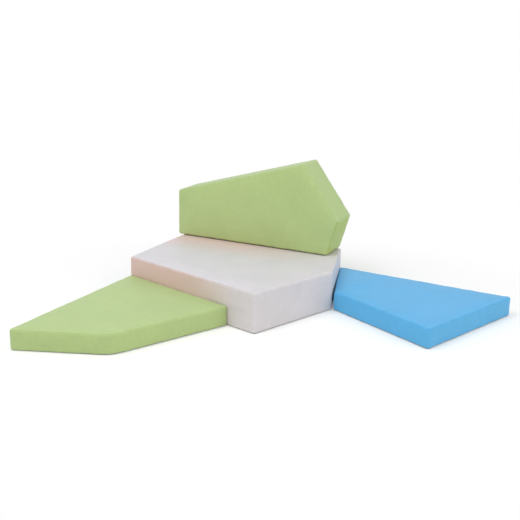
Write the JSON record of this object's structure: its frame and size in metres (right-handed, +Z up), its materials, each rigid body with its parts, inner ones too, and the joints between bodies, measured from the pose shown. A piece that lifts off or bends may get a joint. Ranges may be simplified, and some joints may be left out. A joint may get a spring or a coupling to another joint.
{
  "type": "soft play mat set",
  "caption": "Soft play seat set: a low angular foam seat, an angular back block standing on it, and two matching floor mats beside it, each a foam core in a zipped leatherette cover.",
  "frame": {"origin": "centre of the whole set's outline on the floor, under all the cushions", "axes": "+X runs along the seat's back side and is the longest way across the set, +Y points to the rear, away from the back block's front face, +Z is up and is the shortest way"},
  "size_m": [1.8664, 1.6708, 0.6766],
  "materials": {
    "green_leatherette": "satin",
    "grey_leatherette": "satin",
    "blue_leatherette": "satin",
    "anti_slip_base": "matte",
    "foam": "matte",
    "hook_and_loop": "matte",
    "zip_tape": "matte",
    "zip_metal": "satin"
  },
  "bodies": {
    "seat": {"seat_base_panel": "anti_slip_base", "seat_foam_core": "foam", "seat_loop_strip_left": "hook_and_loop", "seat_loop_strip_right": "hook_and_loop", "seat_side_band": "grey_leatherette", "seat_top_panel": "grey_leatherette", "seat_zip_band": "grey_leatherette", "seat_zip_bottom_stop": "zip_metal", "seat_zip_tape_lower": "zip_tape", "seat_zip_tape_upper": "zip_tape", "seat_zip_top_stop_lower": "zip_metal", "seat_zip_top_stop_upper": "zip_metal"},
    "back": {"back_foam_core": "foam", "back_front_panel": "green_leatherette", "back_hook_strip_left": "hook_and_loop", "back_hook_strip_right": "hook_and_loop", "back_rear_panel": "green_leatherette", "back_side_band": "green_leatherette", "back_zip_bottom_stop": "zip_metal", "back_zip_tape_lower": "zip_tape", "back_zip_tape_upper": "zip_tape", "back_zip_top_stop_lower": "zip_metal", "back_zip_top_stop_upper": "zip_metal"},
    "left_mat": {"left_mat_base_panel": "anti_slip_base", "left_mat_foam_core": "foam", "left_mat_side_band": "green_leatherette", "left_mat_top_panel": "green_leatherette", "left_mat_zip_band": "green_leatherette", "left_mat_zip_bottom_stop": "zip_metal", "left_mat_zip_tape_lower": "zip_tape", "left_mat_zip_tape_upper": "zip_tape", "left_mat_zip_top_stop_lower": "zip_metal", "left_mat_zip_top_stop_upper": "zip_metal"},
    "right_mat": {"right_mat_base_panel": "anti_slip_base", "right_mat_foam_core": "foam", "right_mat_side_band": "blue_leatherette", "right_mat_top_panel": "blue_leatherette", "right_mat_zip_band": "blue_leatherette", "right_mat_zip_bottom_stop": "zip_metal", "right_mat_zip_tape_lower": "zip_tape", "right_mat_zip_tape_upper": "zip_tape", "right_mat_zip_top_stop_lower": "zip_metal", "right_mat_zip_top_stop_upper": "zip_metal"},
    "seat_zip_slider": {"seat_zip_slider": "zip_metal"},
    "seat_zip_pull": {"seat_zip_pull": "zip_metal"},
    "back_zip_slider": {"back_zip_slider": "zip_metal"},
    "back_zip_pull": {"back_zip_pull": "zip_metal"},
    "left_mat_zip_slider": {"left_mat_zip_slider": "zip_metal"},
    "left_mat_zip_pull": {"left_mat_zip_pull": "zip_metal"},
    "right_mat_zip_slider": {"right_mat_zip_slider": "zip_metal"},
    "right_mat_zip_pull": {"right_mat_zip_pull": "zip_metal"}
  },
  "joints": [
    {"name": "back_lift", "type": "slide", "parent": "seat", "child": "back", "axis": [0, 0, 1], "range_m": [0, 0.35]},
    {"name": "left_mat_pull_away", "type": "slide", "parent": "seat", "child": "left_mat", "axis": [-0.2756, -0.9613, 0], "range_m": [0, 0.4]},
    {"name": "right_mat_pull_away", "type": "slide", "parent": "seat", "child": "right_mat", "axis": [0.9613, 0.2756, 0], "range_m": [0, 0.4]},
    {"name": "seat_zip_slide", "type": "slide", "parent": "seat", "child": "seat_zip_slider", "axis": [1, 0, 0], "range_m": [0, 0.764]},
    {"name": "seat_zip_pull_hinge", "type": "hinge", "parent": "seat_zip_slider", "child": "seat_zip_pull", "pos_m": [-0.846, 0.83601, 0.1], "axis": [0, 0, 1], "range_deg": [0, 175]},
    {"name": "back_zip_slide", "type": "slide", "parent": "back", "child": "back_zip_slider", "axis": [1, 0, 0], "range_m": [0, 0.727]},
    {"name": "back_zip_pull_hinge", "type": "hinge", "parent": "back_zip_slider", "child": "back_zip_pull", "pos_m": [-0.842, 0.83601, 0.2635], "axis": [0, 0, 1], "range_deg": [0, 175]},
    {"name": "left_mat_zip_slide", "type": "slide", "parent": "left_mat", "child": "left_mat_zip_slider", "axis": [0.0087, 1, 0], "range_m": [0, 0.8014]},
    {"name": "left_mat_zip_pull_hinge", "type": "hinge", "parent": "left_mat_zip_slider", "child": "left_mat_zip_pull", "pos_m": [-0.92707, -0.76291, 0.05], "axis": [0, 0, 1], "range_deg": [0, 175]},
    {"name": "right_mat_zip_slide", "type": "slide", "parent": "right_mat", "child": "right_mat_zip_slider", "axis": [0.9978, -0.0663, 0], "range_m": [0, 0.8014]},
    {"name": "right_mat_zip_pull_hinge", "type": "hinge", "parent": "right_mat_zip_slider", "child": "right_mat_zip_pull", "pos_m": [0.06495, 0.8127, 0.05], "axis": [0, 0, 1], "range_deg": [0, 175]}
  ]
}
